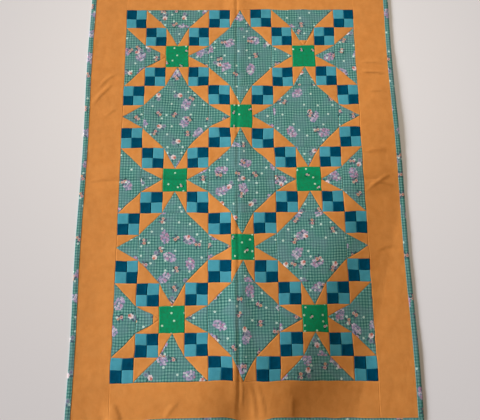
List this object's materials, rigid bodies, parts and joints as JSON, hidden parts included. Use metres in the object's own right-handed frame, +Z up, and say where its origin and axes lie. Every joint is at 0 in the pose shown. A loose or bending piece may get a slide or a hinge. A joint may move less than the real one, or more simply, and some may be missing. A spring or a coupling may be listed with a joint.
{
  "type": "patchwork quilt",
  "caption": "Rectangular patchwork quilt lying flat, with a pieced panel of stars and four-patch squares, plain borders and a print binding, slack in low folds at its foot end.",
  "frame": {"origin": "middle of the quilt's outline, on the surface that it lies on", "axes": "+Y along the length towards the head end, +X across to the right seen from above, +Z up from the surface"},
  "size_m": [1.4604, 2.0654, 0.0496],
  "materials": {
    "patchwork": "matt pieced cotton: dark teal, turquoise, orange, green print and gingham flower print patches, seams pressed flat",
    "border_cotton": "matt plain-woven orange cotton, slightly creased",
    "gingham_print": "matt green and white gingham cotton with printed flowers"
  },
  "bodies": {
    "root": {"patchwork_panel": "patchwork", "border_top": "border_cotton", "border_bottom": "border_cotton", "border_left": "border_cotton", "border_right": "border_cotton", "binding_top": "gingham_print", "binding_bottom": "gingham_print", "binding_left": "gingham_print", "binding_right": "gingham_print"}
  },
  "joints": []
}
